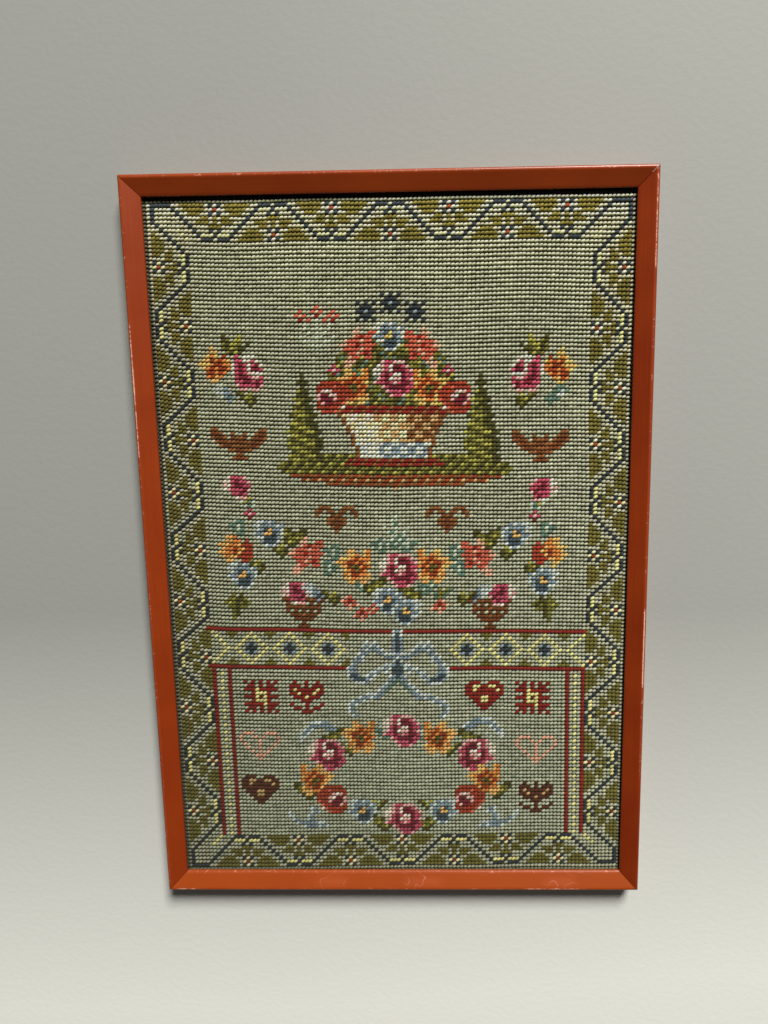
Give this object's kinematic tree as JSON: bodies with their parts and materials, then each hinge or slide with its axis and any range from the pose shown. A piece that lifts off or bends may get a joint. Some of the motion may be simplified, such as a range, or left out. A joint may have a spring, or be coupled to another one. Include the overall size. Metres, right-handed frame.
{
  "type": "framed needlepoint picture",
  "caption": "Upright needlepoint picture in slanted wool stitches on canvas, set in a slim mitred painted wooden frame, open at the back, to hang on a wall or lie flat.",
  "frame": {"origin": "on the surface the picture lies on, under the middle of its outline", "axes": "+Z out of the picture's face, +Y towards the top of the picture, +X to its right"},
  "size_m": [0.32, 0.466, 0.017],
  "materials": {
    "painted_wood": "satin russet paint, worn along the edges",
    "wool_on_canvas": "matt wool yarn"
  },
  "bodies": {
    "root": {"rail_bottom": "painted_wood", "rail_right": "painted_wood", "rail_top": "painted_wood", "rail_left": "painted_wood", "needlepoint_panel": "wool_on_canvas"}
  },
  "joints": []
}
